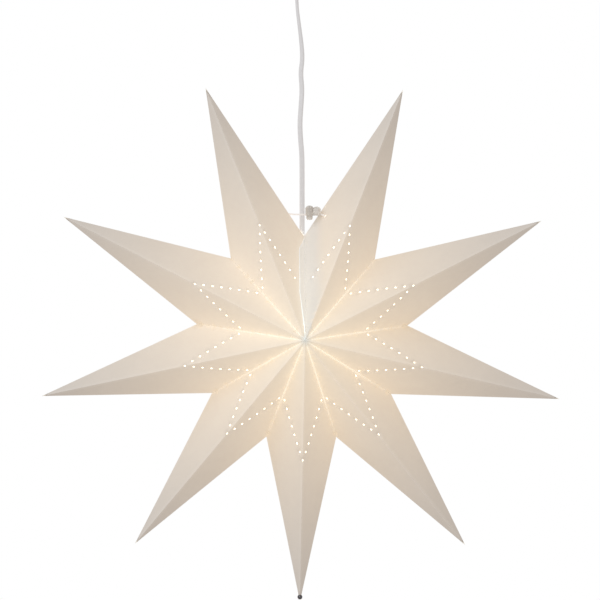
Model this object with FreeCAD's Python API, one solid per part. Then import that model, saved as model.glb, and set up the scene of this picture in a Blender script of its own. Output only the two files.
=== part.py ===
"""Nine-pointed folded paper star lamp, hanging by a flat twin cord from a small ceiling cup.

Millimetres and degrees. X runs to the viewer's right, Y away from the viewer, Z up.
The origin is on the ceiling, straight above the cord. Everything hangs below it.
The shade is nine folded points glued side by side at their valleys. The ninth join, the seam
at the top, stays open for the lamp: a tie with a press-button lock holds it shut round the cord.
"""
import FreeCAD
import Part
import math
import os

V = FreeCAD.Vector
X, Y, Z = V(1, 0, 0), V(0, 1, 0), V(0, 0, 1)

# ---------------------------------------------------------------- shade
POINTS = 9                    # points of the star
TIP_RADIUS = 277.5            # shade centre to a tip
NOTCH_RADIUS = 110.5          # shade centre to the notch between two points
SEAM_NOTCH_RADIUS = 104.5     # the same at the open seam, where the end points are pulled together
SEAM_TURN = 1.0               # the seam leans this far to the right of the cord
SHADE_DEPTH = 148.0           # front centre to back centre
FAN_SPREAD = 2.4              # the fan is this much wider per point at the seam, and narrower opposite
SEAM_SPREAD = 1.0             # further widening close beside the seam
FAN_TURN = 0.5                # the whole shade hangs turned this far clockwise
PAPER = 0.4                   # thickness of the card
CENTRE_HOLE = 1.6             # diameter of the opening where all creases meet
FLAP_WIDTH = 8.0              # glue flap along each valley, inside the shade
FLAP_END_GAP = 14.0           # a flap stops this far from the notch and from the centre
FLAP_TAPER = 8.0              # length over which a flap's ends are cut back
SEAM_FLAP_WIDTH = 18.0        # loose flap of the last point, flat behind the first one
SEAM_FLAP_GAP = 24.0          # it starts this far below the notch, clear of the cord
SEAM_FLAP_END = 46.0          # and stops this far from the centre, where the facet is as wide
SEAM_LAP = 7.2                # the first point's edge laps this far over the last one at the seam
SEAM_LAP_START = 8.0          # the lap starts this far from the centre
SEAM_LAP_FULL = 46.0          # and has its full width from here
SEAM_LAP_SHORT = (14.5, 3.5)  # it narrows, and ends, this far below the notch
FLAP_AIR = 0.1                # air between it and the facet in front

# ---------------------------------------------------------------- punched dots
DOT = 2.4                     # diameter of a punched dot
DOT_PITCH = 9.3               # spacing along a row
DOTS_PER_ROW = 7              # dots on each facet, besides the one on the ridge
DOT_RIDGE = 130.0             # shade centre to the dot on the ridge, along the ridge
DOT_VALLEY = 75.0             # a row aims at the valley this far from the centre
SEAM_DOT_VALLEY = 72.5        # the two rows beside the seam aim at a place this far from the centre
SEAM_DOT_SIDES = (11.5, 16.0) # and this far beside the seam, in the first and in the last point

# ---------------------------------------------------------------- cord
CORD = 5.2                    # width of the flat cord
CORD_SPACE = 0.4              # air round the cord in the paper
SWING_GAP = 0.3               # air round a ball end, where one stretch of cord turns on the next
NECK_LENGTH = 24.0            # first stretch under the ceiling cup
SHADE_SET_FORWARD = 3.4       # the shade's middle plane lies this far in front of the cord

# ---------------------------------------------------------------- ceiling fitting
CUP_HEIGHT = 36.0
CUP_RADIUS = 38.0             # at the ceiling
CUP_FLOOR_RADIUS = 27.0       # flat underside
CUP_CORNER = 9.0
CUP_WALL = 2.0
BRIDGE_LENGTH = 62.0
BRIDGE_WIDTH = 16.0
BRIDGE_STEEL = 1.5
BRIDGE_LUG = 11.0             # the bent-down ends
SLOT_SPACING = 44.0           # ceiling screws, centre to centre
SLOT_WIDTH = 4.6
SLOT_LENGTH = 9.0
M4 = 4.0
M10 = 10.0
THREAD_SPACE = 0.1            # a threaded stem is modelled smooth, this much inside its hole
SCREW_HEAD = 7.0
SCREW_HEAD_HEIGHT = 2.6
CUP_SCREW_LENGTH = 9.0
CUP_SCREW_DROP = 7.0          # below the ceiling
SCREW_SLOT = 0.9
GLAND_RADIUS = 7.5
GLAND_HEIGHT = 13.0
GLAND_MOUTH_ANGLE = 30.0      # flare of the cord's way out
GLAND_PIVOT_UP = 5.0          # the cord bends this far above the gland's lower face
NUT_HEIGHT = 3.5
NUT_FLATS = 15.0
BLOCK = (20.0, 17.0, 13.0)    # terminal block
BLOCK_AHEAD = 15.0            # block centre in front of the cord
BLOCK_POLE = 4.2              # spacing of a pole from the block's middle
BLOCK_BORE = 3.6
BLOCK_SCREW = 3.2
CORE = 2.0                    # one insulated core
STUB_LENGTH = 20.0            # cord inside the cup, above the bend

# ---------------------------------------------------------------- lampholder and bulb
GRIP_RADIUS = 5.6             # the shade's top rests on the grip's rim
GRIP_SEAT_AIR = 0.2
GRIP_COLLAR_RADIUS = 7.5
GRIP_COLLAR = 5.0
GRIP_HEIGHT = 10.0            # above the collar
CORD_IN_GRIP = 12.0
CAP_HEIGHT = 24.0
CAP_RADIUS = 14.0
CAP_NECK_RADIUS = 8.5
HOLDER_WALL = 1.8
SKIRT_LENGTH = 33.0
SKIRT_LAP = 9.0               # of the skirt inside the cap
INSERT_RADIUS = 9.8
INSERT_HEIGHT = 9.0
FLANGE = 2.0                  # rim of the insert, seated on the skirt
TERMINAL_OFFSET = 5.2         # its two screws, from the middle
TERMINAL_SINK = 2.4           # their heads sit this deep
TERMINAL_HEAD = 3.8
TERMINAL_STEM = 2.6
TERMINAL_REACH = 3.6
THREAD_RADIUS = 6.95          # bulb cap, outside the thread
THREAD_PITCH = 2.82
THREAD_DEPTH = 0.5
THREAD_TURNS = 7
THREAD_FIT = 0.2              # between the bulb cap and the contact sleeve
SLEEVE_WALL = 0.4
BULB_CONTACT = 3.0
COLLAR_LENGTH = 17.0
COLLAR_RADIUS = 13.0
GLOBE_RADIUS = 22.5
GLOBE_WALL = 1.0
BOARD_RADIUS = 10.0

# ---------------------------------------------------------------- tie, lock and tip bead
TIE = 1.6                     # round cord that holds the seam shut
TIE_ABOVE_NOTCH = 23.0        # the tie crosses the open seam this far above its notch
TIE_FALL = 2.0                # its right end is this much lower
TIE_HOLE = 2.6                # punched hole for it
TIE_EDGES = (10.5, 7.0)       # hole to the paper's edge, in the first and in the last point
TIE_TURN = 2.0                # the tie stands this far off the paper where it turns into a hole
KNOT = 4.6
LOCK_LENGTH = 16.0
LOCK_HEIGHT = 10.6
LOCK_CORD_GAP = 0.4           # between the lock and the hanging cord
LOCK_AHEAD = 6.5              # the lock is this much further forward than the tie would lie on the cord
LOCK_SLIDE = 4.0              # way along the tie, across the front of the cord
LOCK_BASE_DROP = 1.2          # the lock's base lies this far under the tie
BUTTON = 6.6                  # diameter of the press button
BUTTON_OUT = 4.4              # how far it stands out
BUTTON_FIT = 0.15
BUTTON_TRAVEL = 2.0
BUTTON_LENGTH = 8.6
SPRING_WIRE = 0.5
SPRING_TURNS = 2
LOCK_ROOF = 2.2               # the button's bore ends this far under the housing's top
BEAD = 5.2                    # ball at the lowest tip
BEAD_INSET = 5.0              # its middle lies this far inside the tip, which is trimmed there
BEAD_PIN = 1.2
BEAD_PIN_LENGTH = 16.0

# Height of the cord grip's top above the shade's centre, where the back of the shade is as deep as
# the grip's rim.
GRIP_TOP = SEAM_NOTCH_RADIUS * (1 - (GRIP_RADIUS + SHADE_SET_FORWARD + 2 * PAPER) / (SHADE_DEPTH / 2))
GRIP_TOP -= GRIP_SEAT_AIR

# The hanging cord's route, from the neck's lower end to the cord grip: x, y, and height above
# the shade's centre. It keeps the gentle bends of a cord that was stored coiled.
CORD_ROUTE = [
    (0.0, 0.0, 396.0),
    (-1.2, 0.3, 383.0),
    (-5.2, 0.9, 366.0),
    (-5.6, 0.7, 346.0),
    (-3.2, 0.3, 326.0),
    (-0.7, -0.4, 306.0),
    (0.5, -0.3, 289.0),
    (-1.6, 0.4, 274.0),
    (0.1, 0.2, 258.0),
    (-1.0, -0.5, 241.0),
    (-2.4, -0.2, 222.0),
    (-1.6, 0.4, 206.0),
    (-0.2, 0.3, 190.0),
    (0.0, 0.0, 176.0),
    (0.0, 0.0, GRIP_TOP - CORD_IN_GRIP),
]

# ---------------------------------------------------------------- heights that follow
NECK_TOP = CORD_ROUTE[0][2] + NECK_LENGTH
PIVOT_DROP = CUP_HEIGHT + GLAND_HEIGHT - GLAND_PIVOT_UP       # ceiling to the cord's first bend
SHADE_Z = -(PIVOT_DROP + NECK_TOP)                            # shade centre below the ceiling
CENTRE = V(0, -SHADE_SET_FORWARD, SHADE_Z)
HALF_DEPTH = SHADE_DEPTH / 2
FRONT, BACK = -1, 1


# ================================================================ small tools
def solid_of(triangles):
    """A closed solid from its corner triangles."""
    faces = [Part.Face(Part.makePolygon([*t, t[0]])) for t in triangles]
    return Part.Solid(Part.makeShell(faces))


def revolve(profile, centre=V(0, 0, 0)):
    """A solid of revolution about the vertical through centre, from (radius, height) corners."""
    corners = [centre + V(r, 0, z) for r, z in profile]
    return Part.Face(Part.makePolygon([*corners, corners[0]])).revolve(centre, Z, 360)


def rod(radius, start, end):
    return Part.makeCylinder(radius, (end - start).Length, start, end - start)


def ball(radius, centre):
    return Part.makeSphere(radius, centre)


def block(size, centre):
    return Part.makeBox(*size, centre - V(*size) / 2)


def clean(shape):
    """One tidy solid, or the separate solids as a compound."""
    solids = shape.removeSplitter().Solids
    return solids[0] if len(solids) == 1 else Part.makeCompound(solids)


def unit(v):
    return v / v.Length


# ================================================================ shade
def step(i):
    """Angle between tip i and tip i + 1, counted from the seam. The steps add up to a full turn."""
    around = math.radians(i * 360.0 / POINTS)
    return 360.0 / POINTS + FAN_SPREAD * math.cos(around) + SEAM_SPREAD * math.cos(2 * around)


def tip_angle(i):
    """Clockwise from straight up; tip 1 is the first on the viewer's right of the seam."""
    return FAN_TURN + step(0) / 2 + sum(step(m) for m in range(1, i))


def outward(angle):
    return V(math.sin(math.radians(angle)), 0, math.cos(math.radians(angle)))


def tip(i):
    return CENTRE + outward(tip_angle(i)) * TIP_RADIUS


def notch_direction(i):
    """Towards the notch after tip i. Notch 0 is the seam."""
    i = i % POINTS
    return outward(tip_angle(i) + step(i) / 2) if i else outward(SEAM_TURN)


def notch(i):
    radius = NOTCH_RADIUS if i % POINTS else SEAM_NOTCH_RADIUS
    return CENTRE + notch_direction(i) * radius


def centre_of(side):
    """Where the creases meet, on the front or the back."""
    return CENTRE + Y * (side * HALF_DEPTH)


def facet_normal(side, i, n):
    """Outward normal of the facet between tip i's ridge and notch n."""
    normal = unit((tip(i) - centre_of(side)).cross(notch(n) - centre_of(side)))
    return normal if normal.y * side > 0 else -normal


def point_shell(i):
    """The four facets of one point, folded from one sheet, open towards the middle of the star."""
    before, after = notch(i - 1), notch(i)
    front, back, top = centre_of(FRONT), centre_of(BACK), tip(i)
    outer = solid_of([
        (front, top, before), (front, after, top), (back, before, top), (back, top, after),
        (front, before, back), (front, back, after),
    ])
    # The paper's inner planes meet in one corner, moved in so that each lies one thickness deeper.
    a, b = facet_normal(FRONT, i, i - 1), facet_normal(FRONT, i, i)
    det = a.x * b.z - a.z * b.x
    inner_top = top + V(PAPER * (a.z - b.z) / det, 0, PAPER * (b.x - a.x) / det)
    beyond = 1.5
    f, p, k, n = (inner_top + (corner - top) * beyond for corner in (front, before, back, after))
    inner = solid_of([
        (f, inner_top, p), (f, n, inner_top), (k, p, inner_top), (k, inner_top, n),
        (f, p, k), (f, k, n),
    ])
    return outer.cut(inner)


def valley(n, side):
    """Start of the valley at notch n, its direction towards the middle, its length and the way in."""
    start, end = notch(n), centre_of(side)
    along = unit(end - start)
    inwards = unit(Y * -side - along * along.dot(Y * -side))
    return start, along, (end - start).Length, inwards


def strip(start, along, length, across, width, notch_gap, end_gap):
    """Flat strip beside a valley, cut back at both ends."""
    stop = length - end_gap
    corners = [
        start + along * notch_gap,
        start + along * stop,
        start + along * (stop - FLAP_TAPER) + across * width,
        start + along * (notch_gap + FLAP_TAPER) + across * width,
    ]
    return Part.Face(Part.makePolygon([*corners, corners[0]]))


def flap(i, n, side, width=FLAP_WIDTH, notch_gap=FLAP_END_GAP, end_gap=FLAP_END_GAP):
    """Flap along the valley to notch n, turned inwards, on point i's side of the join."""
    start, along, length, inwards = valley(n, side)
    own_side = unit(along.cross(inwards))
    if own_side.dot(tip(i) - CENTRE) < 0:
        own_side = -own_side
    return strip(start, along, length, inwards, width, notch_gap, end_gap).extrude(own_side * PAPER)


def seam_flap(side):
    """Loose flap of the last point: it turns in at the seam and lies flat behind the first point."""
    start, along, length, inwards = valley(0, side)
    normal = facet_normal(side, 1, 0)
    near, far = (depth / -inwards.dot(normal) for depth in (PAPER + FLAP_AIR, 2 * PAPER + FLAP_AIR))
    across = unit(normal.cross(along))
    if across.dot(tip(1) - CENTRE) < 0:
        across = -across
    ends = SEAM_FLAP_GAP, SEAM_FLAP_END
    behind = strip(start + inwards * near, along, length, across, SEAM_FLAP_WIDTH, *ends)
    root = flap(POINTS, 0, side, far, *ends)
    return root.fuse(behind.extrude(normal * -PAPER))


def row_aim(i, n, side):
    """Place which a row of dots runs to: on the valley, or beside the seam in the two end points."""
    middle = centre_of(side)
    along = unit(notch(n) - middle)
    if n % POINTS:
        return middle + along * DOT_VALLEY
    across = unit(facet_normal(side, i, n).cross(along))
    if across.dot(tip(i) - middle) < 0:
        across = -across
    return middle + along * SEAM_DOT_VALLEY + across * SEAM_DOT_SIDES[0 if i == 1 else 1]


def dots(i):
    """Drills for the rows of punched dots: a V on each side of the ridge, front and back."""
    drills = []
    for side in (FRONT, BACK):
        middle = centre_of(side)
        ridge = unit(tip(i) - middle)
        first = middle + ridge * DOT_RIDGE
        drills.append(rod(DOT / 2, first + Y * (side * DOT), first - Y * (side * DOT)))
        for n in (i - 1, i):
            row = unit(row_aim(i, n, side) - first)
            normal = facet_normal(side, i, n)
            for k in range(1, DOTS_PER_ROW + 1):
                dot = first + row * (k * DOT_PITCH)
                drills.append(rod(DOT / 2, dot + normal, dot - normal * 2))
    return drills


def tie_hole(i, side, fall=0.0):
    """Middle of the tie's hole in an end point, and the paper's normal there."""
    edge = unit(tip(i) - notch(0))
    level = CENTRE.z + SEAM_NOTCH_RADIUS + TIE_ABOVE_NOTCH - fall
    normal = facet_normal(side, i, 0)
    inwards = unit(normal.cross(edge))
    if inwards.y * side < 0:
        inwards = -inwards
    start = notch(0) + inwards * TIE_EDGES[0 if i == 1 else 1]
    return start + edge * ((level - start.z) / edge.z), normal


def left_tie_hole():
    return tie_hole(POINTS, BACK)


def right_tie_hole():
    return tie_hole(1, FRONT, TIE_FALL)


def seam_lap(side):
    """Edge of the first point that lies over the last one, outside it, beside the seam."""
    start, end = centre_of(side), notch(0)
    along = unit(end - start)
    normal = facet_normal(side, POINTS, 0)
    across = unit(normal.cross(along))
    if across.dot(tip(POINTS) - CENTRE) < 0:
        across = -across
    reaches = (SEAM_LAP_START, SEAM_LAP_FULL, *(SEAM_NOTCH_RADIUS - short for short in SEAM_LAP_SHORT))
    first, full, full_end, last = (reach / CENTRE.distanceToPoint(notch(0)) * (end - start).Length
                                   for reach in reaches)
    root = -PAPER
    corners = [
        start + along * first + across * root, start + along * first,
        start + along * full + across * SEAM_LAP, start + along * full_end + across * SEAM_LAP,
        start + along * last, start + along * last + across * root,
    ]
    lap = Part.Face(Part.makePolygon([*corners, corners[0]]))
    lap.translate(normal * FLAP_AIR)
    return lap.extrude(normal * PAPER)


def star_point(i):
    """One folded point with its glue flaps, punched dots and cut-outs."""
    shape = point_shell(i)
    for side in (FRONT, BACK):
        for n in (i - 1, i):
            if n % POINTS:
                shape = shape.fuse(flap(i, n, side))
        if i == POINTS:
            shape = shape.fuse(seam_flap(side))
        if i == 1:
            shape = shape.fuse(seam_lap(side))
    cuts = dots(i)
    cuts.append(rod(CENTRE_HOLE / 2, centre_of(FRONT) - Y, centre_of(BACK) + Y))
    if i in (1, POINTS):
        cord_way = CORD / 2 + CORD_SPACE
        cuts.append(rod(cord_way, V(0, 0, SHADE_Z), V(0, 0, SHADE_Z + TIP_RADIUS)))
        hole, normal = right_tie_hole() if i == 1 else left_tie_hole()
        cuts.append(rod(TIE_HOLE / 2, hole + normal, hole - normal * 2))
    if i == (POINTS + 1) // 2:
        cuts.append(ball(BEAD / 2, bead_centre()))
        cuts.append(rod(BEAD / 2, bead_centre(), bead_centre() - bead_axis() * 2 * BEAD_INSET))
        cuts.append(rod(BEAD_PIN / 2, bead_centre(), bead_centre() + bead_axis() * BEAD_PIN_LENGTH))
    return clean(shape.cut(cuts))


# ================================================================ tip bead
def bead_axis():
    """From the lowest tip up towards the middle."""
    return unit(CENTRE - tip((POINTS + 1) // 2))


def bead_centre():
    return tip((POINTS + 1) // 2) + bead_axis() * BEAD_INSET


def tip_bead():
    pin_end = bead_centre() + bead_axis() * BEAD_PIN_LENGTH
    return clean(ball(BEAD / 2, bead_centre()).fuse(rod(BEAD_PIN / 2, bead_centre(), pin_end)))


# ================================================================ cord
def rounded_path(points, name):
    """Straight runs joined by tangent arcs, each as large as its two runs allow."""
    edges, last, radii = [], points[0], []
    for before, corner, after in zip(points, points[1:], points[2:]):
        a, b = unit(before - corner), unit(after - corner)
        reach = 0.45 * min((before - corner).Length, (after - corner).Length)
        turn = math.pi - a.getAngle(b)
        start, end = corner + a * reach, corner + b * reach
        radius = reach / math.tan(turn / 2)
        bisector = unit(a + b)
        middle = corner + bisector * (radius / math.cos(turn / 2) - radius)
        edges.append(Part.LineSegment(last, start).toShape())
        edges.append(Part.Arc(start, middle, end).toShape())
        radii.append(round(radius))
        last = end
    edges.append(Part.LineSegment(last, points[-1]).toShape())
    print(name, "bend radii", radii, "length", round(sum(e.Length for e in edges), 1))
    return Part.Wire(edges)


def tube(points, diameter, name):
    path = rounded_path(points, name)
    start = points[0]
    ring = Part.Wire(Part.makeCircle(diameter / 2, start, points[1] - points[0]))
    shape = path.makePipeShell([ring], True, False)
    expected = math.pi * diameter ** 2 / 4 * path.Length
    print(name, "volume over section times length", round(shape.Volume / expected, 4))
    return shape


def route_points():
    return [V(x, y, SHADE_Z + z) for x, y, z in CORD_ROUTE]


def pivot():
    """Where the cord bends as it leaves the ceiling gland."""
    return V(0, 0, -PIVOT_DROP)


def hanging_cord():
    points = route_points()
    return clean(tube(points, CORD, "cord").fuse(ball(CORD / 2, points[0])))


def cord_neck():
    lower = route_points()[0]
    neck = rod(CORD / 2, lower, pivot()).fuse(ball(CORD / 2, pivot()))
    return clean(neck.cut(ball(CORD / 2 + SWING_GAP, lower)))


# ================================================================ ceiling fitting
def ceiling_bridge():
    """Steel strap that is screwed to the ceiling, with a bent-down lug at each end."""
    half = BRIDGE_LENGTH / 2
    strap = block((BRIDGE_LENGTH, BRIDGE_WIDTH, BRIDGE_STEEL), V(0, 0, -BRIDGE_STEEL / 2))
    for end in (-1, 1):
        middle = V(end * (half - BRIDGE_STEEL / 2), 0, -BRIDGE_LUG / 2)
        strap = strap.fuse(block((BRIDGE_STEEL, BRIDGE_WIDTH, BRIDGE_LUG), middle))
    strap = clean(strap)
    bends = [e for e in strap.Edges if abs(e.BoundBox.XLength) < 1e-6 and abs(e.BoundBox.ZLength) < 1e-6
             and abs(abs(e.CenterOfMass.x) - half) < 1e-6 and abs(e.CenterOfMass.z) < 1e-6]
    strap = strap.makeFillet(BRIDGE_STEEL * 0.9, bends)
    cuts = []
    for end in (-1, 1):
        run = (SLOT_LENGTH - SLOT_WIDTH) / 2
        middle = V(end * SLOT_SPACING / 2, 0, 0)
        cuts.append(block((2 * run, SLOT_WIDTH, 4 * BRIDGE_STEEL), middle))
        for x in (-run, run):
            cuts.append(rod(SLOT_WIDTH / 2, middle + V(x, 0, 1), middle + V(x, 0, -2 * BRIDGE_STEEL)))
        axis = -Z * CUP_SCREW_DROP
        cuts.append(rod(M4 / 2, axis + X * end * (half - 3), axis + X * end * (half + 1)))
    return clean(strap.cut(cuts))


def ceiling_cup():
    """Moulded cup, a tapered shell with a rounded lower corner."""
    def filled(inset):
        top, floor = CUP_RADIUS - inset, CUP_FLOOR_RADIUS + CUP_CORNER - inset
        depth, corner = CUP_HEIGHT - inset, CUP_CORNER - inset
        low = V(floor - corner, 0, -depth)
        side = V(floor, 0, -depth + corner)
        middle = V(floor - corner * (1 - math.sqrt(0.5)), 0, -depth + corner * (1 - math.sqrt(0.5)))
        edges = [
            Part.LineSegment(V(0, 0, 0), V(0, 0, -depth)).toShape(),
            Part.LineSegment(V(0, 0, -depth), low).toShape(),
            Part.Arc(low, middle, side).toShape(),
            Part.LineSegment(side, V(top, 0, 0)).toShape(),
            Part.LineSegment(V(top, 0, 0), V(0, 0, 0)).toShape(),
        ]
        return Part.Face(Part.Wire(edges)).revolve(V(0, 0, 0), Z, 360)
    holes = [rod(M10 / 2, V(0, 0, -CUP_HEIGHT - 1), V(0, 0, -CUP_HEIGHT + 2 * CUP_WALL))]
    for end in (-1, 1):
        holes.append(rod(M4 / 2 + BUTTON_FIT, V(0, 0, -CUP_SCREW_DROP) + X * end * BRIDGE_LENGTH / 2,
                         V(0, 0, -CUP_SCREW_DROP) + X * end * (CUP_RADIUS + 1)))
    return clean(filled(0).cut(filled(CUP_WALL)).cut(holes))


def screw(length, diameter, head, head_height, seat, direction):
    """Slotted screw. seat is the middle of the head's underside, direction points along the stem."""
    stem = rod(diameter / 2 - THREAD_SPACE, seat, seat + direction * length)
    cap = rod(head / 2, seat, seat - direction * head_height)
    cap = cap.makeChamfer(head_height * 0.25, [e for e in cap.Edges
                          if (e.CenterOfMass - (seat - direction * head_height)).Length < 1e-6])
    side = Y if abs(direction.y) < 0.5 else X
    other = direction.cross(side)
    across = Part.makePolygon([seat - direction * head_height + side * a * head + other * b * SCREW_SLOT / 2
                               for a, b in ((-1, -1), (1, -1), (1, 1), (-1, 1), (-1, -1))])
    slot = Part.Face(across).extrude(direction * head_height * 0.5)
    return clean(stem.fuse(cap).cut(slot))


def cup_screws():
    taper = (CUP_RADIUS - CUP_FLOOR_RADIUS - CUP_CORNER) / (CUP_HEIGHT - CUP_CORNER)
    face = CUP_RADIUS - taper * (CUP_SCREW_DROP - SCREW_HEAD / 2)
    return Part.makeCompound([screw(CUP_SCREW_LENGTH, M4, SCREW_HEAD, SCREW_HEAD_HEIGHT,
                                    V(end * face, 0, -CUP_SCREW_DROP), X * -end) for end in (-1, 1)])


def gland():
    """Clamping nipple in the cup's floor, with a flared way out for the cord."""
    low = -CUP_HEIGHT - GLAND_HEIGHT
    bore = CORD / 2 + SWING_GAP
    mouth = bore + GLAND_PIVOT_UP * math.tan(math.radians(GLAND_MOUTH_ANGLE))
    stem = M10 / 2 - THREAD_SPACE
    stem_top = -CUP_HEIGHT + CUP_WALL + NUT_HEIGHT + 1
    body = revolve([
        (bore, stem_top), (stem, stem_top), (stem, -CUP_HEIGHT), (GLAND_RADIUS, -CUP_HEIGHT),
        (GLAND_RADIUS, low + 2), (GLAND_RADIUS - 2, low), (mouth, low), (bore, low + GLAND_PIVOT_UP),
    ])
    hole = rod(M4 / 2, gland_screw_seat(), V(0, 0, gland_screw_seat().z))
    return clean(body.cut(hole))


def gland_screw_seat():
    return V(GLAND_RADIUS, 0, -CUP_HEIGHT - 3.4)


def gland_screw():
    reach = GLAND_RADIUS - CORD / 2
    return screw(reach, M4, 5.0, 1.6, gland_screw_seat(), X * -1)


def hexagon(flats, height, base):
    corners = [base + V(math.cos(math.radians(a)), math.sin(math.radians(a)), 0) * (flats / math.sqrt(3))
               for a in range(0, 361, 60)]
    return Part.Face(Part.makePolygon(corners)).extrude(Z * height)


def gland_nut():
    floor = V(0, 0, -CUP_HEIGHT + CUP_WALL)
    hole = rod(M10 / 2, floor - Z, floor + Z * (NUT_HEIGHT + 1))
    return clean(hexagon(NUT_FLATS, NUT_HEIGHT, floor).cut(hole))


def stub_top():
    return pivot().z + CORD / 2 + SWING_GAP + STUB_LENGTH


def cord_stub():
    """The end of the cord that stays clamped in the ceiling fitting."""
    return rod(CORD / 2, pivot() + Z * (CORD / 2 + SWING_GAP), V(0, 0, stub_top()))


def block_centre():
    return V(0, -BLOCK_AHEAD, -BRIDGE_STEEL - BLOCK[2] / 2)


def terminal_block():
    cuts = []
    for side in (-1, 1):
        middle = block_centre() + X * side * BLOCK_POLE
        cuts.append(rod(BLOCK_BORE / 2, middle - Y * BLOCK[1], middle + Y * BLOCK[1]))
        for end in (-1, 1):
            top = middle + Y * end * BLOCK[1] / 4
            cuts.append(rod(BLOCK_SCREW / 2, top, top - Z * BLOCK[2]))
    body = block(BLOCK, block_centre())
    body = body.makeChamfer(1.0, [e for e in body.Edges if e.BoundBox.YLength > BLOCK[1] - 0.1])
    return clean(body.cut(cuts))


def block_screws():
    screws = []
    for side in (-1, 1):
        for end in (-1, 1):
            top = block_centre() + X * side * BLOCK_POLE + Y * end * BLOCK[1] / 4
            screws.append(rod(BLOCK_SCREW / 2, top - Z * BLOCK_BORE / 2, top - Z * (BLOCK[2] / 2 - 1)))
    return Part.makeCompound(screws)


def cord_cores():
    """The two cores, from the end of the clamped cord into the terminal block."""
    cores = []
    for side in (-1, 1):
        start = V(side * CORE * 0.55, 0, stub_top())
        pole = block_centre() + X * side * BLOCK_POLE + Y * BLOCK[1] / 2
        points = [start, start + Z * 5.0, pole + Y * 3.5 - Z * 0.4, pole - Y * 3.0]
        cores.append(tube(points, CORE, "core"))
    return Part.makeCompound(cores)


# ================================================================ lampholder and bulb
def holder_level(height):
    """Turns a height above the shade's centre into a height below the ceiling."""
    return SHADE_Z + height


COLLAR_TOP = GRIP_TOP - GRIP_HEIGHT
CAP_TOP = COLLAR_TOP - GRIP_COLLAR
CAP_BOTTOM = CAP_TOP - CAP_HEIGHT
SKIRT_TOP = CAP_BOTTOM + SKIRT_LAP
SKIRT_BOTTOM = SKIRT_TOP - SKIRT_LENGTH
INSERT_TOP = CAP_BOTTOM + SKIRT_LAP + INSERT_HEIGHT
THREAD_TOP = INSERT_TOP - INSERT_HEIGHT - BULB_CONTACT
THREAD_BOTTOM = THREAD_TOP - THREAD_TURNS * THREAD_PITCH


def turned(profile):
    """Solid of revolution about the lamp's own axis, with heights above the shade's centre."""
    return revolve(profile, V(0, 0, SHADE_Z))


def cord_grip():
    bore = CORD / 2
    stem = M10 / 2 - THREAD_SPACE
    body = turned([
        (0, GRIP_TOP - CORD_IN_GRIP), (bore, GRIP_TOP - CORD_IN_GRIP), (bore, GRIP_TOP),
        (GRIP_RADIUS - 1, GRIP_TOP), (GRIP_RADIUS, GRIP_TOP - 1), (GRIP_RADIUS, COLLAR_TOP),
        (GRIP_COLLAR_RADIUS, COLLAR_TOP), (GRIP_COLLAR_RADIUS, CAP_TOP), (stem, CAP_TOP),
        (stem, CAP_TOP - 2 * HOLDER_WALL), (0, CAP_TOP - 2 * HOLDER_WALL),
    ])
    seat = grip_screw_seat()
    return clean(body.cut(rod(M4 / 2, seat, V(0, 0, seat.z))))


def grip_screw_seat():
    return V(-GRIP_RADIUS, 0, holder_level(COLLAR_TOP + 5.0))


def grip_screw():
    return screw(GRIP_RADIUS - CORD / 2, M4, 4.4, 1.2, grip_screw_seat(), X)


def holder_cap():
    """Domed upper half of the lampholder."""
    r, w, neck = CAP_RADIUS, HOLDER_WALL, CAP_NECK_RADIUS
    return clean(turned([
        (M10 / 2, CAP_TOP), (neck, CAP_TOP), (neck + 3.0, CAP_TOP - 2.6), (r - 0.8, CAP_TOP - 7.0),
        (r, CAP_TOP - 12.0), (r, CAP_BOTTOM + 1), (r - 0.6, CAP_BOTTOM), (r - w, CAP_BOTTOM),
        (r - w, CAP_TOP - 12.0), (r - w - 0.8, CAP_TOP - 8.0), (neck + 1.4, CAP_TOP - 4.6),
        (neck - 1.0, CAP_TOP - 2 * w), (M10 / 2, CAP_TOP - 2 * w),
    ]))


def holder_skirt():
    """Lower half, screwed up into the cap. Its shoulder seats on the cap's rim."""
    outer = CAP_RADIUS - HOLDER_WALL - THREAD_SPACE
    neck, wide = outer - HOLDER_WALL, CAP_RADIUS - HOLDER_WALL - 0.4
    return clean(turned([
        (neck, SKIRT_TOP), (outer, SKIRT_TOP), (outer, CAP_BOTTOM), (CAP_RADIUS - 0.6, CAP_BOTTOM),
        (CAP_RADIUS, CAP_BOTTOM - 1), (CAP_RADIUS, SKIRT_BOTTOM + 1), (CAP_RADIUS - 0.8, SKIRT_BOTTOM),
        (wide, SKIRT_BOTTOM), (wide, CAP_BOTTOM - 4), (neck, CAP_BOTTOM - 2),
    ]))


def terminal_insert():
    """Core of the lampholder. It rests on the skirt and carries both contacts."""
    flange = CAP_RADIUS - HOLDER_WALL - THREAD_SPACE
    body = turned([
        (0, INSERT_TOP), (INSERT_RADIUS - 1.5, INSERT_TOP), (INSERT_RADIUS, INSERT_TOP - 3),
        (INSERT_RADIUS, SKIRT_TOP + FLANGE), (flange, SKIRT_TOP + FLANGE),
        (flange, SKIRT_TOP), (0, SKIRT_TOP),
    ])
    wells = []
    for seat in terminal_seats():
        wells.append(rod(TERMINAL_HEAD / 2 + BUTTON_FIT, seat, seat + Z * INSERT_HEIGHT))
        wells.append(rod(TERMINAL_STEM / 2, seat - Z * TERMINAL_REACH, seat))
    return clean(body.cut(wells))


def terminal_seats():
    """Undersides of the two terminal screws' heads."""
    level = holder_level(INSERT_TOP - TERMINAL_SINK)
    return [V(side * TERMINAL_OFFSET, 0, level) for side in (-1, 1)]


def terminal_screws():
    return Part.makeCompound([screw(TERMINAL_REACH, TERMINAL_STEM, TERMINAL_HEAD, 1.4, seat, Z * -1)
                              for seat in terminal_seats()])


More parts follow.
